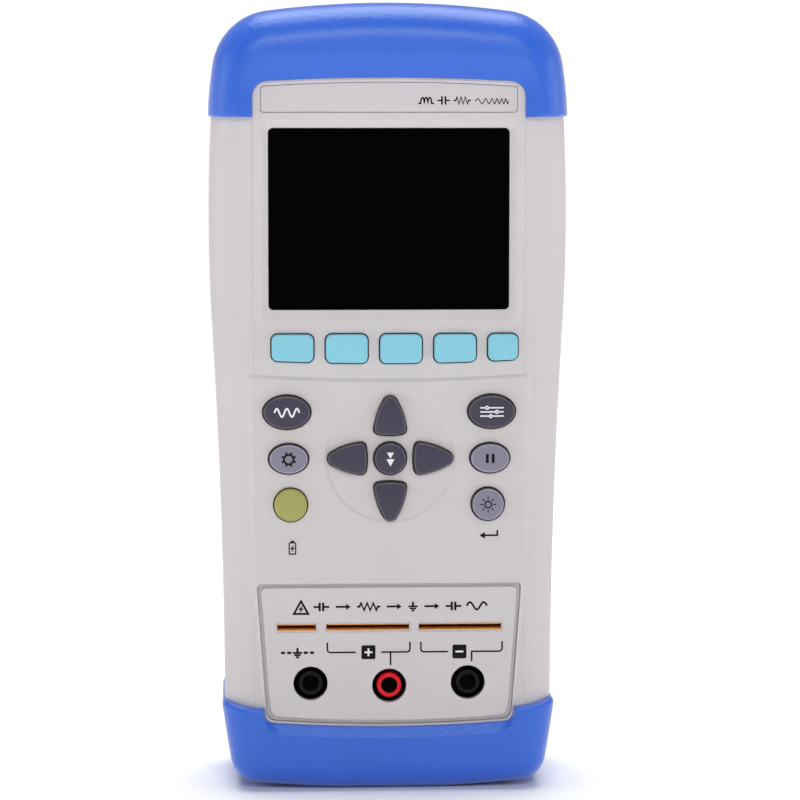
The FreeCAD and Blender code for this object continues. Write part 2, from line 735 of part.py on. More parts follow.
def make_display():
    plate = prism(name_plate_outline(0.0), UPPER_FACE + 0.02, UPPER_FACE + 0.5)
    keep("name_plate", plate)
    window = prism(rectangle(-28.8, 28.8, 116.8, 160.1, 1.1), UPPER_FACE + 1.0, UPPER_FACE + 2.3)
    keep("display_window", window)

    seat = INNER_FRONT + 1.1
    gasket = prism(rectangle(-31.5, 31.5, 114.1, 163.0, 1.2), seat, seat + 0.6)
    gasket = gasket.cut(prism(rectangle(-29.0, 29.0, 116.6, 160.4, 1.0), seat - 1, seat + 2))
    keep("display_gasket", gasket)

    bezel_front = seat + 0.6
    bezel = box(-35.1, 35.1, bezel_front, bezel_front + 2.9, 113.2, 163.9)
    bezel = bezel.cut(box(-34.7, 34.7, bezel_front + 0.3, bezel_front + 4, 113.6, 163.5))
    bezel = bezel.cut(box(-29.4, 29.4, bezel_front - 1, bezel_front + 1, 116.3, 160.7))
    bezel = bezel.cut(box(-12.5, 12.5, bezel_front + 1.5, bezel_front + 4, 112.0, 115.0))
    keep("lcd_bezel", bezel)
    keep("lcd_panel", box(-34.6, 34.6, bezel_front + 0.3, bezel_front + 1.5, 113.7, 163.4))
    keep("lcd_backlight", box(-34.6, 34.6, bezel_front + 1.5, bezel_front + 2.8, 113.7, 163.4))

    # The flex leaves the lower edge of the display, folds back and lies behind it.
    thick = 0.16
    front_y = bezel_front + 2.0
    back_y = bezel_front + 3.3
    fold = (front_y + back_y) / 2
    low = 113.0
    radius = (back_y - front_y) / 2

    def run(offset):
        return [
            Part.LineSegment(Vector(0, front_y - offset, 113.7), Vector(0, front_y - offset, low)),
            Part.Arc(Vector(0, front_y - offset, low), Vector(0, fold, low - radius - offset),
                     Vector(0, back_y + offset, low)),
            Part.LineSegment(Vector(0, back_y + offset, low), Vector(0, back_y + offset, 121.0)),
        ]
    inner = [curve.toShape() for curve in run(0.0)]
    outer = [curve.toShape() for curve in run(thick)]
    caps = [
        Part.LineSegment(Vector(0, front_y, 113.7), Vector(0, front_y - thick, 113.7)).toShape(),
        Part.LineSegment(Vector(0, back_y, 121.0), Vector(0, back_y + thick, 121.0)).toShape(),
    ]
    ribbon = Part.Face(Part.Wire(Part.__sortEdges__(inner + outer + caps))).extrude(Vector(22, 0, 0))
    ribbon.translate(Vector(-11, 0, 0))
    keep("lcd_flex", ribbon)


# ---------------------------------------------------------------- terminals

# Sections of the contact leaves as (y, distance from the middle of the slot), mouth to tail.
LEAF_THICK = 0.16
LEAF_TAIL = 0.95
LEAF_INNER = [(FACE + 1.6, 0.14), (-13.8, 0.05), (-10.9, LEAF_TAIL), (BOARD_FRONT, LEAF_TAIL)]
LEAF_UPPER = [(FACE + 0.9, 0.5)] + LEAF_INNER
LEAF_LOWER = [(FACE + 0.3, 0.66), (FACE + 0.55, 0.36)] + LEAF_INNER
POST_FRONT = FACE + 0.6
LIP = 1.0
SHELL_END = 1.6
SHELL_WALL = 1.1
SHELL_FLOOR = 1.6
SOCKET_FLOOR = 1.2
PIN_RADIUS = 0.7
PIN_LENGTH = 2.2


def make_panel():
    plate = prism(panel_outline(-0.9, -0.9), FACE, PANEL_SEAT)
    plate = round_rim(plate, FACE, 0.3)
    flange = prism(panel_outline(-0.1, -0.1), FACE + 1.0, PANEL_SEAT)
    panel = fused([plate, flange])
    half = SLOT_HEIGHT / 2
    sink = 0.35
    for x, width in SLOTS.values():
        x_low = x - width / 2
        x_high = x + width / 2
        panel = panel.cut(box(x_low, x_high, -BIG, BIG, SLOT_Z - half, SLOT_Z + half))
        sunk = rectangle(x_low - sink, x_high + sink, SLOT_Z - half - sink, SLOT_Z + half + sink, sink)
        panel = panel.cut(prism(sunk, FACE - 1, FACE + 0.25))
    for x, z in JACKS.values():
        panel = panel.cut(rod(x, z, SHELL_RADIUS, -BIG, BIG))
    keep("terminal_panel", panel)


def contact_leaf(x, width, section, sign):
    """Strip of spring metal across a slot: bent in behind the mouth, nipped, then spread to its tail."""
    near = section
    far = [(y, z + LEAF_THICK) for y, z in reversed(section)]
    points = [Vector(0, y, SLOT_Z + sign * z) for y, z in near + far]
    leaf = Part.Face(Part.makePolygon(points + [points[0]])).extrude(Vector(width - 0.2, 0, 0))
    leaf.translate(Vector(x - width / 2 + 0.1, 0, 0))
    return leaf


def make_contacts():
    block = box(-28.6, 28.6, PANEL_SEAT, BOARD_FRONT - 0.8, SLOT_Z - 3.6, SLOT_Z + 3.6)
    room = LEAF_TAIL + LEAF_THICK + 0.15
    for side, (x, width) in SLOTS.items():
        reach = width / 2 + 0.3
        block = block.cut(box(x - reach, x + reach, -BIG, BIG, SLOT_Z - room, SLOT_Z + room))
        keep("contact_%s_upper" % side, contact_leaf(x, width, LEAF_UPPER, 1))
        keep("contact_%s_lower" % side, contact_leaf(x, width, LEAF_LOWER, -1))
    keep("terminal_block", block)


def make_jacks():
    contact_radius = SOCKET_RADIUS + 0.35
    contact_end = SHELL_END - SOCKET_FLOOR
    for side, (x, z) in JACKS.items():
        shell = tube(x, z, SHELL_RADIUS + SHELL_WALL, SHELL_RADIUS, PANEL_SEAT, SHELL_END)
        floor = tube(x, z, SHELL_RADIUS + SHELL_WALL, POST_RADIUS, SHELL_END - SHELL_FLOOR, SHELL_END)
        keep("jack_shell_" + side, fused([shell, floor]))
        post = tube(x, z, POST_RADIUS, contact_radius, POST_FRONT, SHELL_END)
        lip = tube(x, z, POST_RADIUS, SOCKET_RADIUS, POST_FRONT, POST_FRONT + LIP)
        keep("jack_post_" + side, round_post(fused([post, lip])))
        socket = tube(x, z, contact_radius, SOCKET_RADIUS, POST_FRONT + LIP, contact_end)
        plug = rod(x, z, contact_radius, contact_end, SHELL_END)
        pin = rod(x, z, PIN_RADIUS, SHELL_END, SHELL_END + PIN_LENGTH)
        keep("jack_socket_" + side, fused([socket, plug, pin]))


def round_post(post):
    """Rounds the outer edge of a post's front end."""
    chosen = []
    for edge in post.Edges:
        limits = edge.BoundBox
        if abs(limits.YMax - POST_FRONT) < 1e-3 and limits.XLength > 2 * SOCKET_RADIUS + 0.1:
            chosen.append(edge)
    return post.makeFillet(0.35, chosen)


# ---------------------------------------------------------------- board and what it carries

def make_board():
    board = prism(rectangle(-32.0, 32.0, 17.5, 169.4, 1.5), BOARD_FRONT, BOARD_BACK)
    board = board.fuse(box(30.0, 37.4, BOARD_FRONT, BOARD_BACK, USB_Z - 6, USB_Z + 6))
    for x, z in JACKS.values():
        board = board.cut(rod(x, z, SHELL_RADIUS + 1.3, -BIG, BIG))
    for x, z in BOARD_SCREWS:
        board = board.cut(rod(x, z, 1.3, -BIG, BIG))
    keep("main_board", board.removeSplitter())

    keep("processor_chip", quad_chip(0.0, 132.0, 14.0, 1.4, 11))
    chip_row_z = 92.0
    places = [(-18.0, chip_row_z), (-6.0, chip_row_z), (6.0, chip_row_z), (18.0, chip_row_z)]
    places += [(-6.0, 108.0), (10.0, 108.0)]
    keep("analog_chips", Part.makeCompound([small_chip(x, z) for x, z in places]))

    can = box(-24.0, 24.0, BOARD_BACK, BOARD_BACK + 4.5, 50.5, 78.0)
    can = can.cut(box(-23.7, 23.7, BOARD_BACK - 1, BOARD_BACK + 4.2, 50.8, 77.7))
    for column in range(5):
        for row in range(3):
            can = can.cut(rod(-16.0 + 8.0 * column, 57.0 + 7.0 * row, 1.0, BOARD_BACK + 3, BOARD_BACK + 6))
    keep("shield_can", can)

    buzzer = rod(-20.0, 152.0, 6.0, BOARD_BACK, BOARD_BACK + 4.5)
    buzzer = buzzer.cut(rod(-20.0, 152.0, 1.0, BOARD_BACK + 3, BOARD_BACK + 5))
    keep("buzzer", buzzer)
    cans = []
    for x, z in ((18.0, 152.0), (18.0, 142.0), (26.0, 152.0)):
        cans.append(rod(x, z, 3.15, BOARD_BACK, BOARD_BACK + 5.8))
    keep("board_capacitors", Part.makeCompound(cans))
    make_usb_socket()


def quad_chip(x, z, size, height, pins):
    """Square chip with a row of legs on each side."""
    half = size / 2
    leg_top = BOARD_BACK + 0.5
    leg_half = 0.2
    body = box(x - half, x + half, BOARD_BACK + 0.1, BOARD_BACK + height, z - half, z + half)
    body = body.makeChamfer(0.25, [e for e in body.Edges if along_y(e)])
    legs = []
    pitch = (size - 2.0) / (pins - 1)
    for i in range(pins):
        step = -half + 1.0 + pitch * i
        for sign in (-1, 1):
            end = sign * (half + 1.0)
            near, far = sorted((sign * (half - 0.1), end))
            legs.append(box(x + near, x + far, BOARD_BACK, leg_top, z + step - leg_half, z + step + leg_half))
            legs.append(box(x + step - leg_half, x + step + leg_half, BOARD_BACK, leg_top, z + near, z + far))
    return fused([body] + legs)


def small_chip(x, z):
    """Eight-legged chip."""
    body = box(x - 2.5, x + 2.5, BOARD_BACK + 0.1, BOARD_BACK + 1.6, z - 2.0, z + 2.0)
    legs = []
    for i in range(4):
        step = -1.9 + 1.27 * i
        legs.append(box(x + step - 0.2, x + step + 0.2, BOARD_BACK, BOARD_BACK + 0.6, z - 3.0, z + 3.0))
    return fused([body] + legs)


def make_usb_socket():
    mouth_x = 38.9
    shell = box(29.8, mouth_x, BOARD_BACK, BOARD_BACK + 4.0, USB_Z - 3.85, USB_Z + 3.85)
    shell = shell.makeFillet(0.7, [e for e in shell.Edges if e.BoundBox.XLength > 5])
    hollow = box(31.5, mouth_x + 1, BOARD_BACK + 0.4, BOARD_BACK + 3.6, USB_Z - 3.45, USB_Z + 3.45)
    tongue = box(31.4, mouth_x - 1.2, BOARD_BACK + 1.5, BOARD_BACK + 2.5, USB_Z - 2.4, USB_Z + 2.4)
    keep("usb_socket", fused([shell.cut(hollow), tongue]))


# ---------------------------------------------------------------- battery, door, stand and screws

def make_battery():
    pack = box(-21.8, 21.8, 6.2, 16.0, 26.0, 72.0)
    pack = pack.makeFillet(2.5, [e for e in pack.Edges if e.BoundBox.ZLength > 5])
    keep("battery_pack", pack)
    block = box(-6.0, 6.0, BOARD_BACK, 4.6, 78.8, 83.2)
    arm = box(-6.0, 6.0, 1.6, 3.6, 66.6, 83.2)
    block = block.fuse(arm)
    pins = [rod(x, 68.5, 0.6, 3.6, 6.2) for x in (-3.6, 0.0, 3.6)]
    keep("battery_connector", fused([block] + pins))

    door = prism(rectangle(-DOOR_X, DOOR_X, DOOR_LOW, DOOR_HIGH, 2.8), BACK - DOOR_THICK, BACK)
    door = round_rim(door, BACK, 0.4)
    for row in range(6):
        rib = box(-12.0, 12.0, BACK - 0.35, BACK + 1, 56.0 + 2.4 * row, 57.2 + 2.4 * row)
        door = door.cut(rib)
    for side in (-1, 1):
        door = door.cut(rod(side * DOOR_SCREW_X, 49.0, 1.5, 0, BACK + 1))
        door = door.cut(rod(side * DOOR_SCREW_X, 49.0, 2.4, BACK - 0.8, BACK + 1))
    keep("battery_door", door)
    keep("door_screws", Part.makeCompound(
        [screw(side * DOOR_SCREW_X, 49.0, 1.1, 2.2, BACK - 0.8, 0.75, 7.2) for side in (-1, 1)]))


def screw(x, z, radius, head_radius, seat_y, head_height, length):
    """Cross-head screw driven from the back, with its head's seat at seat_y."""
    head = rod(x, z, head_radius, seat_y, seat_y + head_height)
    head = round_rim(head, seat_y + head_height, head_height * 0.45)
    shank = rod(x, z, radius, seat_y - length, seat_y)
    body = fused([head, shank])
    reach = head_radius * 0.62
    slot = head_radius * 0.14
    deep = seat_y + head_height * 0.35
    body = body.cut(box(x - reach, x + reach, deep, seat_y + 9, z - slot, z + slot))
    return body.cut(box(x - slot, x + slot, deep, seat_y + 9, z - reach, z + reach))


def make_stand():
    plate = prism(rectangle(-STAND_X, STAND_X, STAND_LOW, HINGE_Z, 1.5), 15.3, 18.2)
    plate = round_rim(plate, 18.2, 0.6)
    hollow = prism(rectangle(-17.5, 17.5, 96.0, 140.0, 2.5), 16.8, BIG)
    plate = plate.cut(hollow)
    for rib in range(4):
        x = -10.5 + 7.0 * rib
        plate = plate.fuse(box(x - 0.7, x + 0.7, 16.7, 17.9, 95.5, 140.5))
    knuckle = Part.makeCylinder(1.6, 2 * STAND_X, Vector(-STAND_X, HINGE_Y, HINGE_Z), Vector(1, 0, 0))
    pins = Part.makeCylinder(HINGE_RADIUS, 2 * 26.8, Vector(-26.8, HINGE_Y, HINGE_Z), Vector(1, 0, 0))
    stand = fused([plate, knuckle, pins])
    stand = stand.cut(box(-16.0, 16.0, 17.4, BIG, STAND_LOW + 1.0, STAND_LOW + 4.6))
    keep("tilt_stand", stand)
    foot = box(-16.0, 16.0, 17.4, 18.6, STAND_LOW + 1.0, STAND_LOW + 4.6)
    foot = foot.makeFillet(0.4, [e for e in foot.Edges if e.BoundBox.YMin > 18.5])
    keep("stand_foot", foot)


def make_screws():
    case_screws = [screw(x, z, 1.25, 2.7, 12.0, 2.0, 24.0) for x, z in CASE_SCREWS]
    keep("case_screws", Part.makeCompound(case_screws))
    board_screws = [screw(x, z, 1.0, 2.1, BOARD_BACK, 1.4, 6.8) for x, z in BOARD_SCREWS]
    keep("board_screws", Part.makeCompound(board_screws))


body = case_body()
case_cavity_block = case_cavity()
shell = body.cut(case_cavity_block)
make_front_case(shell)
make_rear_case(shell)
make_bumpers(body)
make_display()
make_keys()
make_keypad_mat()
make_panel()
make_contacts()
make_jacks()
make_board()
make_battery()
make_stand()
make_screws()

os.makedirs("parts", exist_ok=True)
for name, shape in PARTS.items():
    valid = shape.isValid() and all(s.isClosed() for s in shape.Solids)
    print("%-24s solids %2d volume %10.2f valid %s" % (name, len(shape.Solids), shape.Volume, valid))
    shape.exportStep("parts/%s.step" % name)
print(len(PARTS), "nodes")
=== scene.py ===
"""Looks of the handheld LCR meter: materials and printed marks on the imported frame, floor, lights, camera."""

import json
import math

import bmesh
import bpy
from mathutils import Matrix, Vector
from mathutils.bvhtree import BVHTree


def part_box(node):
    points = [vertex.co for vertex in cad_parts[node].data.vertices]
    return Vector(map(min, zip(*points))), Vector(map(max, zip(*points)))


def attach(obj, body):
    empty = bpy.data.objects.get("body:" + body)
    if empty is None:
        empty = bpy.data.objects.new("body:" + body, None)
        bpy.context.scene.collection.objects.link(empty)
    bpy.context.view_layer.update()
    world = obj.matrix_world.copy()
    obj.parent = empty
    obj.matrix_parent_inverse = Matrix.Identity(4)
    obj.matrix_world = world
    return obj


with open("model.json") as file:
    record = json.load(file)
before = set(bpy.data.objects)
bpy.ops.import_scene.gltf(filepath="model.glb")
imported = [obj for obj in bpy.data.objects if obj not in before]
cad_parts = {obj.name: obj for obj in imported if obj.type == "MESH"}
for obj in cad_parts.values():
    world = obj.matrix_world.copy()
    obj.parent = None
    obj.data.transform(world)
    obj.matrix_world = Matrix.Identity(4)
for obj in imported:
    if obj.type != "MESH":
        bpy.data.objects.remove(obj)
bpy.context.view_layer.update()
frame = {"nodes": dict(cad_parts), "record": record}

NODES = frame["nodes"]
MM = 0.001


# ---------------------------------------------------------------- colours

def srgb(red, green, blue):
    """Linear colour from 0 to 255 screen values."""
    def linear(value):
        value /= 255.0
        return value / 12.92 if value <= 0.04045 else ((value + 0.055) / 1.055) ** 2.4
    return (linear(red), linear(green), linear(blue), 1.0)


CASE_GREY = srgb(199, 194, 195)
BUMPER_BLUE = srgb(42, 94, 206)
SOFT_BLUE = srgb(126, 194, 214)
DARK_KEY = srgb(45, 41, 63)
# Painted highlight ring on the rounded edge of the dark keys.
DARK_KEY_HIGHLIGHT_RING = srgb(84, 76, 86)
PALE_KEY = srgb(124, 120, 139)
OLIVE_KEY = srgb(155, 153, 82)
INK_DARK = srgb(9, 8, 12)
INK_WHITE = srgb(226, 226, 230)
JACK_BLACK = srgb(9, 9, 10)
JACK_RED = srgb(214, 20, 34)
GOLD = srgb(232, 170, 96)


# ---------------------------------------------------------------- materials

def link(tree, source, target):
    tree.links.new(source, target)


def new_material(name):
    material = bpy.data.materials.new(name)
    material.use_nodes = True
    tree = material.node_tree
    return material, tree, tree.nodes["Principled BSDF"]


def shaded(colour, factor):
    return (colour[0] * factor, colour[1] * factor, colour[2] * factor, 1.0)


# A noise texture's values lie mostly between these two.
NOISE_LOW = 0.3
NOISE_HIGH = 0.7
WHITE = (1.0, 1.0, 1.0, 1.0)
BLACK = (0.0, 0.0, 0.0, 1.0)


def object_place(tree):
    """The place on the object, in metres."""
    return tree.nodes.new("ShaderNodeTexCoord").outputs["Object"]


def coordinates(tree, vector):
    """The X, Y and Z outputs of a vector, by name."""
    split = tree.nodes.new("ShaderNodeSeparateXYZ")
    link(tree, vector, split.inputs["Vector"])
    return split.outputs


def noise(tree, size, detail, vector=None):
    """Noise with features of about the given size in metres."""
    node = tree.nodes.new("ShaderNodeTexNoise")
    node.inputs["Scale"].default_value = 1.0 / size
    node.inputs["Detail"].default_value = detail
    link(tree, object_place(tree) if vector is None else vector, node.inputs["Vector"])
    return node.outputs["Fac"]


def ramp(tree, value, low, high, colour_low, colour_high):
    """Colour that changes while the value goes from low to high."""
    node = tree.nodes.new("ShaderNodeValToRGB")
    node.color_ramp.elements[0].position = low
    node.color_ramp.elements[0].color = colour_low
    node.color_ramp.elements[1].position = high
    node.color_ramp.elements[1].color = colour_high
    link(tree, value, node.inputs["Fac"])
    return node.outputs["Color"]


def spread(tree, value, low, high):
    """A noise value stretched over the range from low to high."""
    node = tree.nodes.new("ShaderNodeMapRange")
    node.inputs["From Min"].default_value = NOISE_LOW
    node.inputs["From Max"].default_value = NOISE_HIGH
    node.inputs["To Min"].default_value = low
    node.inputs["To Max"].default_value = high
    link(tree, value, node.inputs["Value"])
    return node.outputs["Result"]


def rounded_normal(tree, radius, samples):
    """Normal of the surface with its edges rounded off."""
    bevel = tree.nodes.new("ShaderNodeBevel")
    bevel.samples = samples
    bevel.inputs["Radius"].default_value = radius
    return bevel.outputs["Normal"]


def bump(tree, shader, value, depth, edge_radius=0.0):
    """Relief of the given depth, over edges that look rounded where a radius is given."""
    node = tree.nodes.new("ShaderNodeBump")
    node.inputs["Strength"].default_value = 1.0
    node.inputs["Distance"].default_value = depth
    link(tree, value, node.inputs["Height"])
    if edge_radius:
        link(tree, rounded_normal(tree, edge_radius, 6), node.inputs["Normal"])
    link(tree, node.outputs["Normal"], shader.inputs["Normal"])


def between(tree, value, low, high):
    """1 where the value lies between the limits."""
    node = tree.nodes.new("ShaderNodeMath")
    node.operation = "COMPARE"
    node.inputs[1].default_value = (low + high) / 2
    node.inputs[2].default_value = (high - low) / 2
    link(tree, value, node.inputs[0])
    return node.outputs["Value"]


def times(tree, first, second):
    """Product of a value with another value or with a number."""
    node = tree.nodes.new("ShaderNodeMath")
    node.operation = "MULTIPLY"
    link(tree, first, node.inputs[0])
    if isinstance(second, float):
        node.inputs[1].default_value = second
    else:
        link(tree, second, node.inputs[1])
    return node.outputs["Value"]


def paint_over(material, cover, colour):
    """Lays a colour over the base colour where the cover is 1."""
    tree = material.node_tree
    base = tree.nodes["Principled BSDF"].inputs["Base Color"]
    mix = tree.nodes.new("ShaderNodeMixRGB")
    mix.inputs["Color2"].default_value = colour
    link(tree, cover, mix.inputs["Fac"])
    link(tree, base.links[0].from_socket, mix.inputs["Color1"])
    link(tree, mix.outputs["Color"], base)


# The keypad's gaps: the stretch that they take up across, inwards from the face and upwards.
GAPS_X = (-32.0 * MM, 32.0 * MM)
GAPS_Y = (-18.0 * MM, -5.0 * MM)
GAPS_Z = (62.0 * MM, 112.0 * MM)
# Colour of the painted shade in the gaps round the keys.
GAP_SHADE_BLACK = (0.004, 0.004, 0.005, 1.0)


def paint_gap_shade(material):
    """Paints shade, near black, over what lies below the face in the narrow gaps round the keys, where little
    light reaches.
    """
    tree = material.node_tree
    place = coordinates(tree, object_place(tree))
    deep = times(tree, between(tree, place["Y"], *GAPS_Y), between(tree, place["X"], *GAPS_X))
    paint_over(material, times(tree, deep, between(tree, place["Z"], *GAPS_Z)), GAP_SHADE_BLACK)


# Cosines of the slope away from the front at which the painted highlight ring and the painted black shade edge
# fade in.
HIGHLIGHT_RING_SLOPES = (0.962, 0.989)
SHADE_EDGE_SLOPES = (0.62, 0.76)
EDGE_SHADE_BLACK = (0.002, 0.002, 0.003, 1.0)
KEY_EDGE_RADIUS = 0.2 * MM


def paint_key_edge_light(material, highlight_colour):
    """A key's edge with painted light: painted shade, near black, at the very edge, then a painted highlight
    ring, paler, before the body colour starts.
    """
    tree = material.node_tree
    normal = coordinates(tree, rounded_normal(tree, KEY_EDGE_RADIUS, 8))
    facing = times(tree, normal["Y"], -1.0)
    for slopes, colour in ((HIGHLIGHT_RING_SLOPES, highlight_colour), (SHADE_EDGE_SLOPES, EDGE_SHADE_BLACK)):
        paint_over(material, ramp(tree, facing, *slopes, WHITE, BLACK), colour)


CLOUD = 24.0 * MM
GLOSS_CHANGE = 0.07


def moulded(name, colour, roughness, grain=0.3 * MM, depth=0.012 * MM, mottle=0.03, specular=0.5,
            edge_radius=0.0):
    """Moulded plastic or rubber: spark-eroded grain, slight unevenness of colour and gloss."""
    material, tree, shader = new_material(name)
    cloud = noise(tree, CLOUD, 4.0)
    dull, bright = shaded(colour, 1 - mottle), shaded(colour, 1 + mottle)
    link(tree, ramp(tree, cloud, NOISE_LOW, NOISE_HIGH, dull, bright), shader.inputs["Base Color"])
    fine = noise(tree, grain, 2.0)
    gloss = spread(tree, fine, (1 - GLOSS_CHANGE) * roughness, (1 + GLOSS_CHANGE) * roughness)
    link(tree, gloss, shader.inputs["Roughness"])
    shader.inputs["Specular IOR Level"].default_value = specular
    bump(tree, shader, fine, depth, edge_radius)
    return material


def rubber(name, colour, roughness, grain, depth, sheen=0.0, edge_radius=0.0):
    """Moulded rubber with a soft sheen."""
    material = moulded(name, colour, roughness, grain, depth, mottle=0.035, edge_radius=edge_radius)
    shader = material.node_tree.nodes["Principled BSDF"]
    shader.inputs["Sheen Weight"].default_value = sheen
    shader.inputs["Sheen Roughness"].default_value = 0.4
    return material


METAL_GRAIN = 0.25 * MM
METAL_RELIEF = 0.004 * MM


def metal(name, colour, roughness, stretch=(1.0, 1.0, 1.0)):
    """Metal with fine brushing or plating unevenness, drawn out along the axes whose stretch is small."""
    material, tree, shader = new_material(name)
    scale = tree.nodes.new("ShaderNodeMapping")
    scale.inputs["Scale"].default_value = stretch
    link(tree, object_place(tree), scale.inputs["Vector"])
    streak = noise(tree, METAL_GRAIN, 3.0, scale.outputs["Vector"])
    colours = ramp(tree, streak, NOISE_LOW, NOISE_HIGH, shaded(colour, 0.9), colour)
    link(tree, colours, shader.inputs["Base Color"])
    link(tree, spread(tree, streak, roughness - 0.06, roughness + 0.08), shader.inputs["Roughness"])
    shader.inputs["Metallic"].default_value = 1.0
    bump(tree, shader, streak, METAL_RELIEF)
    return material


WINDOW_BORDER = 2.2 * MM
BORDER_BLACK = (0.0003, 0.0003, 0.0003, 1.0)
SCREEN_BLACK = (0.0007, 0.0007, 0.0009, 1.0)
SMEAR = 14.0 * MM


def window_material():
    """Black display window: the switched-off active area is a shade lighter than the printed border."""
    material, tree, shader = new_material("black_window")
    place = coordinates(tree, object_place(tree))
    low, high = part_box("display_window")
    across = between(tree, place["X"], low[0] + WINDOW_BORDER, high[0] - WINDOW_BORDER)
    upright = between(tree, place["Z"], low[2] + WINDOW_BORDER, high[2] - WINDOW_BORDER)
    screen = times(tree, across, upright)
    link(tree, ramp(tree, screen, 0.4, 0.6, BORDER_BLACK, SCREEN_BLACK), shader.inputs["Base Color"])
    smear = noise(tree, SMEAR, 4.0)
    link(tree, spread(tree, smear, 0.05, 0.11), shader.inputs["Roughness"])
    shader.inputs["Specular IOR Level"].default_value = 0.012
    return material


MASK_GREEN = (0.008, 0.07, 0.028, 1.0)
TRACK_GREEN = (0.013, 0.11, 0.045, 1.0)
TRACK_SIZE = 2.2 * MM
TRACK_RELIEF = 0.02 * MM


def board_material():
    """Green solder mask with faint tracks."""
    material, tree, shader = new_material("solder_mask")
    tracks = noise(tree, TRACK_SIZE, 1.0)
    link(tree, ramp(tree, tracks, 0.47, 0.53, MASK_GREEN, TRACK_GREEN), shader.inputs["Base Color"])
    shader.inputs["Roughness"].default_value = 0.3
    bump(tree, shader, tracks, TRACK_RELIEF)
    return material


KEY_GRAIN = {"grain": 0.25 * MM, "depth": 0.006 * MM, "sheen": 0.1}
CASE_GRAIN = {"grain": 0.35 * MM, "depth": 0.010 * MM, "mottle": 0.012, "specular": 0.4}
JACK_GRAIN = {"grain": 0.4 * MM, "depth": 0.004 * MM, "mottle": 0.02, "edge_radius": 0.15 * MM}

MATERIALS = {
    "case_plastic": moulded("case_plastic", CASE_GREY, 0.46, edge_radius=0.25 * MM, **CASE_GRAIN),
    "panel_plastic": moulded("panel_plastic", CASE_GREY, 0.44, edge_radius=0.2 * MM, **CASE_GRAIN),
    "stand_plastic": moulded("stand_plastic", srgb(150, 148, 150), 0.5, grain=0.35 * MM, mottle=0.02,
                             specular=0.4, edge_radius=0.25 * MM),
    "foot_rubber": rubber("foot_rubber", srgb(42, 42, 45), 0.65, grain=0.3 * MM, depth=0.02 * MM),
    "bumper_rubber": rubber("bumper_rubber", BUMPER_BLUE, 0.33, grain=0.75 * MM, depth=0.10 * MM,
                            sheen=0.3, edge_radius=0.6 * MM),
    "name_plate_film": moulded("name_plate_film", srgb(197, 192, 195), 0.38, grain=0.2 * MM,
                               depth=0.004 * MM, mottle=0.01, specular=0.45),
    "window_glass": window_material(),
    "gasket_foam": rubber("gasket_foam", srgb(38, 38, 38), 0.8, grain=0.4 * MM, depth=0.04 * MM),
    "sheet_steel": metal("sheet_steel", srgb(196, 196, 198), 0.32, stretch=(1.0, 1.0, 0.12)),
    "lcd_glass": moulded("lcd_glass", srgb(10, 10, 12), 0.12, grain=2.0 * MM, depth=0.001 * MM),
    "backlight_plastic": moulded("backlight_plastic", srgb(228, 228, 224), 0.3),
    "flex_film": moulded("flex_film", srgb(176, 122, 44), 0.3, grain=0.6 * MM, depth=0.004 * MM),
    "keypad_silicone": rubber("keypad_silicone", srgb(158, 158, 158), 0.6, grain=0.3 * MM,
                              depth=0.012 * MM),
    "black_plastic": moulded("black_plastic", srgb(38, 38, 40), 0.5),
    "circuit_board": board_material(),
    "chip_resin": moulded("chip_resin", srgb(36, 36, 36), 0.6, grain=0.2 * MM, depth=0.01 * MM),
    "capacitor_can": metal("capacitor_can", srgb(202, 202, 206), 0.3),
    "battery_wrap": moulded("battery_wrap", srgb(34, 62, 112), 0.25, grain=3.0 * MM, depth=0.03 * MM),
    "screw_steel": metal("screw_steel", srgb(188, 188, 188), 0.3),
    "jack_black": moulded("jack_black", JACK_BLACK, 0.3, specular=0.12, **JACK_GRAIN),
    "jack_red": moulded("jack_red", JACK_RED, 0.32, specular=0.2, **JACK_GRAIN),
    "socket_brass": metal("socket_brass", srgb(92, 88, 80), 0.35),
    "contact_gold": metal("contact_gold", GOLD, 0.3, stretch=(0.1, 1.0, 1.0)),
    "key_light_blue": rubber("key_light_blue", SOFT_BLUE, 0.42, **KEY_GRAIN),
    "key_pale_grey": rubber("key_pale_grey", PALE_KEY, 0.42, **KEY_GRAIN),
    "key_olive": rubber("key_olive", OLIVE_KEY, 0.42, **KEY_GRAIN),
    "key_dark_grey": rubber("key_dark_grey", DARK_KEY, 0.40, **KEY_GRAIN),
}
KEY_SLOTS = ("key_light_blue", "key_pale_grey", "key_olive", "key_dark_grey")
BUMPER_SHINE = (0.85, 1.0, 0.6, 1.0)


def finish_materials():
    """Painted shade in the gaps round the keys, painted highlight rings and painted shade edges on the grey
    keys, and a tint in the bumpers' shine.
    """
    # Painted shade in the gaps, on the case, the keypad mat and every key.
    for slot in ("case_plastic", "keypad_silicone") + KEY_SLOTS:
        paint_gap_shade(MATERIALS[slot])
    paint_key_edge_light(MATERIALS["key_dark_grey"], DARK_KEY_HIGHLIGHT_RING)
    # Painted highlight ring on the pale keys, half as bright again as their body colour.
    paint_key_edge_light(MATERIALS["key_pale_grey"], shaded(PALE_KEY, 1.5))
    rubber_shader = MATERIALS["bumper_rubber"].node_tree.nodes["Principled BSDF"]
    rubber_shader.inputs["Specular Tint"].default_value = BUMPER_SHINE


def dress_frame():
    """Every node of the frame takes the material of its slot."""
    for part in frame["record"]["subparts"]:
        node = NODES[part["node"]]
        node.data.materials.clear()
        node.data.materials.append(MATERIALS[part["material_slot"]])


# ---------------------------------------------------------------- printed marks

INK_LIFT = 0.03 * MM
INK_SINK = 0.03 * MM
IN_FRONT = -0.1  # Y where the rays that find the surface start, well in front of the meter
MITRE_LIMIT = 0.5  # a corner's reach grows to at most twice half the stroke


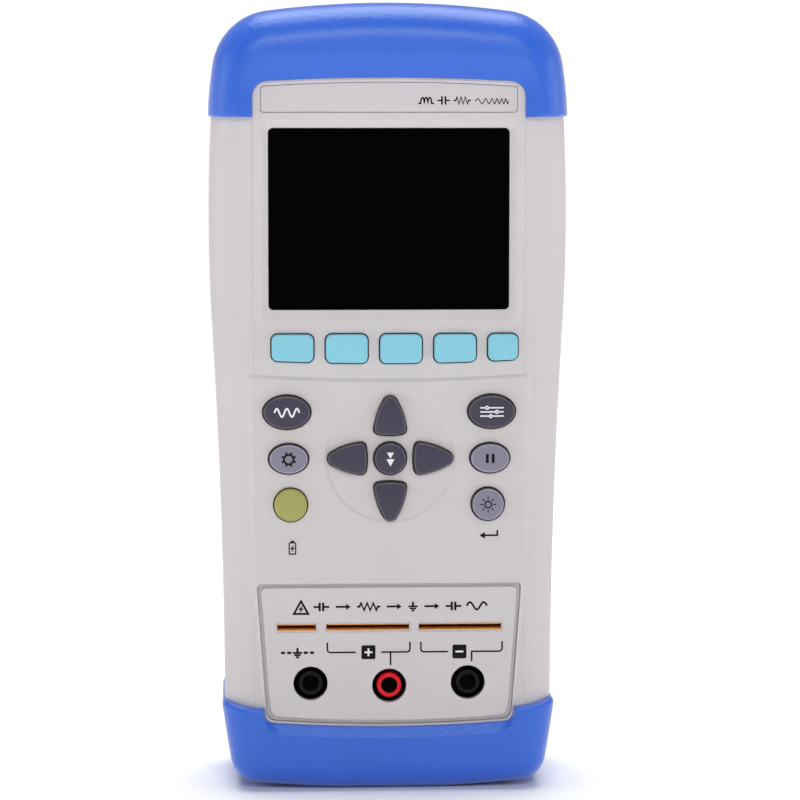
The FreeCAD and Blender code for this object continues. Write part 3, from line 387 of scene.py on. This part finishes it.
class Print:
    """Ink on the front of a node: thin closed slabs that follow the surface under them."""

    def __init__(self, node):
        mesh = NODES[node].data
        points = [v.co.copy() for v in mesh.vertices]
        self.surface = BVHTree.FromPolygons(points, [tuple(p.vertices) for p in mesh.polygons])
        self.bm = bmesh.new()

    def depth(self, x, z):
        """Y of the surface in front of (x, z), which are in metres."""
        point = self.surface.ray_cast(Vector((x, IN_FRONT, z)), Vector((0, 1, 0)))[0]
        return point.y

    def pair(self, x, z, lift):
        """The outer and the sunk vertex of the ink at a point in millimetres."""
        y = self.depth(x * MM, z * MM)
        outer = self.bm.verts.new((x * MM, y - INK_LIFT - lift * MM, z * MM))
        sunk = self.bm.verts.new((x * MM, y + INK_SINK, z * MM))
        return outer, sunk

    def band(self, path, widths, closed=False, lift=0.0):
        """Stroke along a path in millimetres; widths is one width or one for each point."""
        count = len(path)
        if not isinstance(widths, (list, tuple)):
            widths = [widths] * count
        rows = []
        for i, (x, z) in enumerate(path):
            ahead = path[(i + 1) % count] if closed or i + 1 < count else path[i]
            behind = path[i - 1] if closed or i > 0 else path[i]
            into = unit(x - behind[0], z - behind[1])
            out = unit(ahead[0] - x, ahead[1] - z)
            if into is None:
                into = out
            if out is None:
                out = into
            normal = unit(-into[1] - out[1], into[0] + out[0])
            stretch = 1.0 / max(MITRE_LIMIT, normal[0] * -out[1] + normal[1] * out[0])
            reach = widths[i] / 2 * stretch
            left = self.pair(x + normal[0] * reach, z + normal[1] * reach, lift)
            right = self.pair(x - normal[0] * reach, z - normal[1] * reach, lift)
            rows.append((left, right))
        last = count if closed else count - 1
        for i in range(last):
            (a_left, a_right), (b_left, b_right) = rows[i], rows[(i + 1) % count]
            self.face(a_left[0], a_right[0], b_right[0], b_left[0])
            self.face(a_left[1], b_left[1], b_right[1], a_right[1])
            self.face(a_left[0], b_left[0], b_left[1], a_left[1])
            self.face(a_right[0], a_right[1], b_right[1], b_right[0])
        if not closed:
            for left, right in (rows[0], rows[-1]):
                self.face(left[0], left[1], right[1], right[0])

    def patch(self, outline, lift=0.0):
        """Filled flat shape with an outline in millimetres."""
        pairs = [self.pair(x, z, lift) for x, z in outline]
        self.face(*[p[0] for p in pairs])
        self.face(*[p[1] for p in reversed(pairs)])
        for i, here in enumerate(pairs):
            there = pairs[(i + 1) % len(pairs)]
            self.face(here[0], here[1], there[1], there[0])

    def face(self, *verts):
        self.bm.faces.new(verts)

    def finish(self, name, body, ink):
        """Makes the piece and fixes it to its body."""
        bmesh.ops.recalc_face_normals(self.bm, faces=self.bm.faces)
        mesh = bpy.data.meshes.new(name)
        self.bm.to_mesh(mesh)
        self.bm.free()
        piece = bpy.data.objects.new(name, mesh)
        bpy.context.scene.collection.objects.link(piece)
        mesh.materials.append(ink)
        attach(piece, body)


def unit(x, z):
    """Direction of length 1, or None where there is none."""
    length = math.hypot(x, z)
    return (x / length, z / length) if length > 1e-9 else None


def finely(points, step=0.4):
    """The same path with points no further apart than step."""
    path = [points[0]]
    for a, b in zip(points, points[1:]):
        parts = max(1, math.ceil(math.hypot(b[0] - a[0], b[1] - a[1]) / step))
        for i in range(1, parts + 1):
            path.append((a[0] + (b[0] - a[0]) * i / parts, a[1] + (b[1] - a[1]) * i / parts))
    return path


def arc_points(x, z, radius, start, end, steps=10):
    """Points on an arc, in degrees anticlockwise from the right."""
    angles = [math.radians(start + (end - start) * i / steps) for i in range(steps + 1)]
    return [(x + radius * math.cos(a), z + radius * math.sin(a)) for a in angles]


def ring_points(x, z, radius, steps=28):
    return arc_points(x, z, radius, 0.0, 360.0, steps)[:-1]


def rounded_box(x, z, width, height, radius):
    right = x + width / 2 - radius
    left = x - width / 2 + radius
    high = z + height / 2 - radius
    low = z - height / 2 + radius
    return (arc_points(right, high, radius, 0, 90, 4) + arc_points(left, high, radius, 90, 180, 4)
            + arc_points(left, low, radius, 180, 270, 4) + arc_points(right, low, radius, 270, 360, 4))


# ---- single signs, drawn round (x, z) with sizes in millimetres

def wave_sign(ink, x, z, length, height, cycles, stroke, chirp=0.0):
    """Sine wave; with chirp its waves shorten from left to right."""
    steps = int(cycles * 16)
    path = []
    for i in range(steps + 1):
        t = i / steps
        phase = 2 * math.pi * cycles * (t * (1 - chirp) + t * t * chirp)
        path.append((x - length / 2 + length * t, z + height / 2 * math.sin(phase)))
    ink.band(path, stroke)


def key_wave_sign(ink, x, z):
    wave_sign(ink, x, z, length=6.0, height=2.0, cycles=2.5, stroke=0.42)


def sliders_sign(ink, x, z):
    """Three slider tracks with their knobs."""
    half = 2.8
    room = 0.5
    knob_radius = 0.34
    for rise, knob in ((1.0, -1.2), (0.0, 1.2), (-1.0, -0.3)):
        ink.band(finely([(x - half, z + rise), (x + knob - room, z + rise)]), 0.34)
        ink.band(finely([(x + knob + room, z + rise), (x + half, z + rise)]), 0.34)
        ink.band(ring_points(x + knob, z + rise, knob_radius, 12), 0.32, closed=True)


def spokes(ink, x, z, near, far, stroke, first_angle):
    """Eight short strokes that point away from the middle."""
    for i in range(8):
        angle = math.radians(45.0 * i + first_angle)
        cosine, sine = math.cos(angle), math.sin(angle)
        ink.band([(x + near * cosine, z + near * sine), (x + far * cosine, z + far * sine)], stroke)


def gear_sign(ink, x, z):
    radius = 1.15
    stroke = 0.48
    tooth = 0.42
    foot = radius + stroke / 2
    ink.band(ring_points(x, z, radius), stroke, closed=True)
    spokes(ink, x, z, foot, foot + tooth, stroke, 22.5)


def pause_sign(ink, x, z):
    for side in (-0.7, 0.7):
        ink.band(finely([(x + side, z - 1.1), (x + side, z + 1.1)]), 0.7)


def down_triangle(ink, x, high, low, width):
    path = finely([(x, high), (x, low)], 0.15)
    widths = [width * (1 - i / (len(path) - 1)) + 0.02 for i in range(len(path))]
    ink.band(path, widths)


def enter_sign(ink, x, z):
    """Two arrowheads that point down, one above the other."""
    down_triangle(ink, x, z + 1.55, z + 0.1, 1.7)
    down_triangle(ink, x, z - 0.05, z - 1.75, 1.9)


def sun_sign(ink, x, z):
    ink.band(ring_points(x, z, 0.8), 0.32, closed=True)
    spokes(ink, x, z, 1.22, 1.9, 0.27, 0.0)


def bolt_sign(ink, x, z, height, width):
    """Lightning bolt: a slanting stroke that steps aside in its middle."""
    side = width * 0.3
    path = [(x + side, z + height / 2), (x - side, z), (x + side, z), (x - side, z - height / 2)]
    ink.band(path, [width * 0.12, width * 0.4, width * 0.4, width * 0.12])


def battery_sign(ink, x, z):
    cell_z = z - 0.2
    ink.band(rounded_box(x, cell_z, 1.55, 2.75, 0.2), 0.32, closed=True)
    ink.band([(x - 0.38, z + 1.5), (x + 0.38, z + 1.5)], 0.42)
    bolt_sign(ink, x, cell_z, 1.7, 0.9)


def return_sign(ink, x, z):
    """Arrow that turns back to the left."""
    level = z - 0.3
    ink.band([(x + 2.0, z + 0.95), (x + 2.0, level), (x - 1.0, level)], 0.42)
    ink.band([(x - 1.0, level), (x - 2.3, level)], [1.6, 0.05])


LEAD = 0.6  # length of the straight stretch at both ends of a coil or a resistor


def coil_sign(ink, x, z, width, height, stroke):
    """Row of humps between two leads."""
    loops = 3
    radius = (width - 2 * LEAD) / loops / 2
    foot = z - height / 2
    path = [(x - width / 2, foot)]
    for i in range(loops):
        centre = x - width / 2 + LEAD + radius * (2 * i + 1)
        for angle in range(180 if i == 0 else 162, -1, -18):
            turn = math.radians(angle)
            path.append((centre + radius * math.cos(turn), foot + height * math.sin(turn)))
    path.append((x + width / 2, foot))
    ink.band(path, stroke)


def capacitor_sign(ink, x, z, width, height, stroke):
    """Two upright plates with a lead to each."""
    gap = 0.42
    ink.band([(x - width / 2, z), (x - gap, z)], stroke)
    ink.band([(x + gap, z), (x + width / 2, z)], stroke)
    for side in (-gap, gap):
        ink.band([(x + side, z - height / 2), (x + side, z + height / 2)], stroke * 1.15)


def resistor_sign(ink, x, z, width, height, stroke):
    """Zigzag between two leads."""
    teeth = 6
    pitch = (width - 2 * LEAD) / teeth
    path = [(x - width / 2, z), (x - width / 2 + LEAD, z)]
    for i in range(teeth):
        side = 1 if i % 2 == 0 else -1
        path.append((x - width / 2 + LEAD + pitch * (i + 0.5), z + side * height / 2))
    path += [(x + width / 2 - LEAD, z), (x + width / 2, z)]
    ink.band(path, stroke)


def ground_sign(ink, x, z, height, stroke):
    """Stem over three bars that get shorter downwards."""
    ink.band([(x, z + height / 2), (x, z + 0.05)], stroke)
    for row, half in enumerate((1.15, 0.75, 0.35)):
        level = z - 0.02 - row * (height / 2 - 0.12) / 2
        ink.band([(x - half, level), (x + half, level)], stroke * 0.85)


def arrow_sign(ink, x, z, length, stroke):
    """Arrow to the right."""
    neck = x + length / 2 - 1.1
    ink.band([(x - length / 2, z), (neck, z)], stroke)
    ink.band([(neck, z), (x + length / 2, z)], [1.5, 0.04])


# ---- where the signs stand

PLATE_Z = 166.7
WARNING_Z = 45.0
LABEL_Z = 33.85
BATTERY_SIGN = (-23.35, 59.5)
RETURN_SIGN = (24.1, 62.5)

INK_GRAIN = {"grain": 0.4 * MM, "depth": 0.001 * MM, "mottle": 0.02}
DARK_INK = moulded("ink_dark", INK_DARK, 0.5, specular=0.15, **INK_GRAIN)
WHITE_INK = moulded("ink_white", INK_WHITE, 0.45, specular=0.35, **INK_GRAIN)

KEY_SIGNS = (
    ("key_measure", key_wave_sign, WHITE_INK, "wave", "key_dark_grey"),
    ("key_setup", sliders_sign, WHITE_INK, "sliders", "key_dark_grey"),
    ("key_system", gear_sign, DARK_INK, "gear", "key_pale_grey"),
    ("key_hold", pause_sign, DARK_INK, "pause", "key_pale_grey"),
    ("key_light", sun_sign, DARK_INK, "sun", "key_pale_grey"),
    ("key_enter", enter_sign, WHITE_INK, "arrows", "key_dark_grey"),
)


def key_centre(key):
    """Middle of a key's face in millimetres."""
    low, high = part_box(key)
    return (low[0] + high[0]) / 2 / MM, (low[2] + high[2]) / 2 / MM


def print_keys():
    for key, draw, colour, word, slot in KEY_SIGNS:
        ink = Print(key)
        draw(ink, *key_centre(key))
        ink.finish("mark_" + word, key, colour)


def print_name_plate():
    """Signs of a coil, a capacitor, a resistor and a wave whose pitch rises."""
    ink = Print("name_plate")
    coil_sign(ink, 8.8, PLATE_Z, width=3.8, height=1.4, stroke=0.36)
    capacitor_sign(ink, 13.0, PLATE_Z, width=3.0, height=2.0, stroke=0.36)
    resistor_sign(ink, 17.4, PLATE_Z, width=4.2, height=1.7, stroke=0.34)
    wave_sign(ink, 24.5, PLATE_Z - 0.2, length=8.0, height=1.2, cycles=6.0, stroke=0.22, chirp=0.5)
    ink.finish("mark_components", "meter", DARK_INK)


def print_keypad():
    """Signs on the case under the power key and the light key."""
    ink = Print("front_case")
    battery_sign(ink, *BATTERY_SIGN)
    return_sign(ink, *RETURN_SIGN)
    ink.finish("mark_keypad", "meter", DARK_INK)


ROW_STROKE = 0.48
ROW_LENGTH = 42.0
ROW_MIDDLE = 2.7
BOLT_X = -21.32
BRACKET_STROKE = 0.4
BRACKET_TOP = 36.3
BRACKET_TURN = 0.75
LABEL_BOX = 3.4
POLARITY_X = (-5.05, 17.0)
SIGN_STROKE = 0.42
SIGN_REACH = 0.95
WHITE_LIFT = 0.03


def warning_triangle(ink):
    """Triangle with a bolt in it."""
    foot = WARNING_Z - 1.65
    ink.band([(-23.05, foot), (-19.6, foot), (BOLT_X, WARNING_Z + 1.45)], 0.5, closed=True)
    bolt_sign(ink, BOLT_X, WARNING_Z - 0.5, height=1.6, width=1.1)


def sign_row(ink):
    """Row of component signs with arrows between them, evenly spaced over ROW_LENGTH."""
    def capacitor(x, width):
        capacitor_sign(ink, x, WARNING_Z, width, 2.1, ROW_STROKE)

    def arrow(x, width):
        arrow_sign(ink, x, WARNING_Z, width - 0.6, ROW_STROKE)

    def resistor(x, width):
        resistor_sign(ink, x, WARNING_Z, width, 1.8, ROW_STROKE)

    def ground(x, width):
        ground_sign(ink, x, WARNING_Z, 2.3, ROW_STROKE)

    def wave(x, width):
        wave_sign(ink, x, WARNING_Z, width, 1.8, 1.5, ROW_STROKE)

    row = ((capacitor, 3.8), (arrow, 4.2), (resistor, 5.6), (arrow, 4.2), (ground, 2.4), (arrow, 4.2),
           (capacitor, 3.8), (wave, 5.0))
    space = (ROW_LENGTH - sum(width for draw, width in row)) / (len(row) - 1)
    x = ROW_MIDDLE - ROW_LENGTH / 2
    for draw, width in row:
        draw(x + width / 2, width)
        x += width + space


def guard_label(ink):
    """Ground sign between dashes, over the guard socket."""
    for dash_x in (-25.7, -24.2, -20.2, -18.7):
        ink.band([(dash_x - 0.5, LABEL_Z), (dash_x + 0.5, LABEL_Z)], 0.6)
    ground_sign(ink, -22.2, LABEL_Z, height=2.4, stroke=0.56)


def bracket(ink, left, right, box_x, gap):
    """Line from a slot's two ends down to a filled box, with a gap on both sides of the box."""
    corner_z = LABEL_Z + BRACKET_TURN
    reach = LABEL_BOX / 2 + gap
    left_turn = arc_points(left + BRACKET_TURN, corner_z, BRACKET_TURN, 180, 270, 5)
    right_turn = arc_points(right - BRACKET_TURN, corner_z, BRACKET_TURN, 270, 360, 5)
    down = finely([(left, BRACKET_TOP), (left, corner_z)])
    inwards = finely([(left + BRACKET_TURN, LABEL_Z), (box_x - reach, LABEL_Z)])
    ink.band(down + left_turn[1:] + inwards[1:], BRACKET_STROKE)
    outwards = finely([(box_x + reach, LABEL_Z), (right - BRACKET_TURN, LABEL_Z)])
    up = finely([(right, corner_z), (right, BRACKET_TOP)])
    ink.band(outwards + right_turn[1:] + up[1:], BRACKET_STROKE)
    ink.patch(rounded_box(box_x, LABEL_Z, LABEL_BOX, LABEL_BOX, 0.35))


def socket_line(ink, x, low):
    """Line from a bracket down to its socket."""
    ink.band([(x, LABEL_Z - BRACKET_STROKE / 2), (x, low)], BRACKET_STROKE)


def print_terminals():
    ink = Print("terminal_panel")
    warning_triangle(ink)
    sign_row(ink)
    guard_label(ink)
    high_x, low_x = POLARITY_X
    bracket(ink, -15.0, 5.0, high_x, 1.35)
    bracket(ink, 7.65, 27.35, low_x, 1.1)
    socket_line(ink, 0.3, 30.6)
    socket_line(ink, 19.97, 31.4)
    ink.finish("mark_terminals", "meter", DARK_INK)


def print_polarity():
    """White plus and minus on the two filled boxes."""
    ink = Print("terminal_panel")
    for x in POLARITY_X:
        ink.band([(x - SIGN_REACH, LABEL_Z), (x + SIGN_REACH, LABEL_Z)], SIGN_STROKE, lift=WHITE_LIFT)
    plus_x = POLARITY_X[0]
    for side in (-1, 1):
        near = LABEL_Z + side * SIGN_STROKE / 2
        ink.band([(plus_x, near), (plus_x, LABEL_Z + side * SIGN_REACH)], SIGN_STROKE, lift=WHITE_LIFT)
    ink.finish("mark_polarity", "meter", WHITE_INK)


def print_marks():
    print_keys()
    print_name_plate()
    print_keypad()
    print_terminals()
    print_polarity()


# ---------------------------------------------------------------- floor, lights and camera

FLOOR_RADIUS = 40.0
FLOOR_WHITE = (0.97, 0.97, 0.97, 1.0)


def lay_floor():
    """Wide plain white floor."""
    bm = bmesh.new()
    bmesh.ops.create_circle(bm, cap_ends=True, segments=64, radius=FLOOR_RADIUS)
    mesh = bpy.data.meshes.new("floor")
    bm.to_mesh(mesh)
    bm.free()
    floor = bpy.data.objects.new("floor", mesh)
    bpy.context.scene.collection.objects.link(floor)
    material, _, shader = new_material("pale_floor")
    shader.inputs["Base Color"].default_value = FLOOR_WHITE
    shader.inputs["Roughness"].default_value = 0.7
    shader.inputs["Specular IOR Level"].default_value = 0.2
    mesh.materials.append(material)


# Surroundings: a pale horizon, and one large round light overhead that leans a little to the back.
# Each pair is the cosine of the angle to the axis and the brightness there.
SKY_STRENGTH = 5.3
HORIZON = [(0.001, 0.201), (0.04, 0.201), (0.14, 0.047), (0.999, 0.047)]
OVERHEAD = [(0.001, 0.0), (0.90, 0.0), (0.925, 1.0), (0.999, 1.0)]
OVERHEAD_LEAN = math.radians(12)

LIT_POINT = (0.0, 0.0, 0.12)
FRONT_LIGHT = {"place": (0.0, -0.92, 0.62), "size": (0.55, 0.22), "power": 3.05}
SIDE_LIGHT = {"size": (0.5, 0.6), "power": 1.5}
SIDE_LIGHT_PLACE = (1.0, -0.15, 0.25)


def sky_band(tree, way, axis, levels):
    """Brightness by the cosine of the angle between the direction and an axis."""
    dot = tree.nodes.new("ShaderNodeVectorMath")
    dot.operation = "DOT_PRODUCT"
    dot.inputs[1].default_value = axis
    link(tree, way, dot.inputs[0])
    shade = tree.nodes.new("ShaderNodeValToRGB")
    stops = shade.color_ramp.elements
    for position, level in levels:
        stop = stops.new(position)
        stop.color = (level, level, level, 1.0)
    stops.remove(stops[0])
    stops.remove(stops[-1])
    link(tree, dot.outputs["Value"], shade.inputs["Fac"])
    return shade.outputs["Color"]


def softbox(name, place, size, power):
    """White rectangular area light that faces the meter."""
    light = bpy.data.lights.new(name, "AREA")
    light.shape = "RECTANGLE"
    light.size = size[0]
    light.size_y = size[1]
    light.energy = power
    lamp = bpy.data.objects.new(name, light)
    lamp.location = place
    lamp.rotation_euler = (Vector(LIT_POINT) - Vector(place)).to_track_quat("-Z", "Y").to_euler()
    bpy.context.scene.collection.objects.link(lamp)


def light_scene():
    """Surroundings that are brightest overhead, and softboxes in front of and beside the meter."""
    world = bpy.data.worlds.new("studio")
    bpy.context.scene.world = world
    world.use_nodes = True
    tree = world.node_tree
    way = tree.nodes.new("ShaderNodeTexCoord").outputs["Generated"]
    both = tree.nodes.new("ShaderNodeMixRGB")
    both.blend_type = "ADD"
    both.inputs["Fac"].default_value = 1.0
    lean = (0.0, math.sin(OVERHEAD_LEAN), math.cos(OVERHEAD_LEAN))
    link(tree, sky_band(tree, way, (0.0, 0.0, 1.0), HORIZON), both.inputs["Color1"])
    link(tree, sky_band(tree, way, lean, OVERHEAD), both.inputs["Color2"])
    sky = tree.nodes["Background"]
    link(tree, both.outputs["Color"], sky.inputs["Color"])
    sky.inputs["Strength"].default_value = SKY_STRENGTH
    softbox("front_light", **FRONT_LIGHT)
    out, ahead, up = SIDE_LIGHT_PLACE
    for side in (-1, 1):
        softbox("side_light", (side * out, ahead, up), **SIDE_LIGHT)


# The camera looks a little down at the meter, from a little to the left of it.
CAMERA_PITCH = math.radians(5.5)
CAMERA_YAW = math.radians(2.7)
CAMERA_DISTANCE = 0.740
CAMERA_AIM = (0.0, -18.5 * MM, 96.8 * MM)
CAMERA_LENS = 138.75
CAMERA_SHIFT = (0.0134, -0.00875)


def place_camera():
    data = bpy.data.cameras.new("camera")
    data.sensor_width = 36.0
    data.lens = CAMERA_LENS
    data.shift_x, data.shift_y = CAMERA_SHIFT
    data.clip_start = 0.01
    camera = bpy.data.objects.new("camera", data)
    flat = CAMERA_DISTANCE * math.cos(CAMERA_PITCH)
    rise = CAMERA_DISTANCE * math.sin(CAMERA_PITCH)
    away = Vector((-flat * math.sin(CAMERA_YAW), -flat * math.cos(CAMERA_YAW), rise))
    camera.location = Vector(CAMERA_AIM) + away
    camera.rotation_euler = (math.pi / 2 - CAMERA_PITCH, 0.0, -CAMERA_YAW)
    bpy.context.scene.collection.objects.link(camera)
    bpy.context.scene.camera = camera


bpy.context.scene.view_settings.view_transform = "Standard"
place_camera()
finish_materials()
dress_frame()
print_marks()
lay_floor()
light_scene()
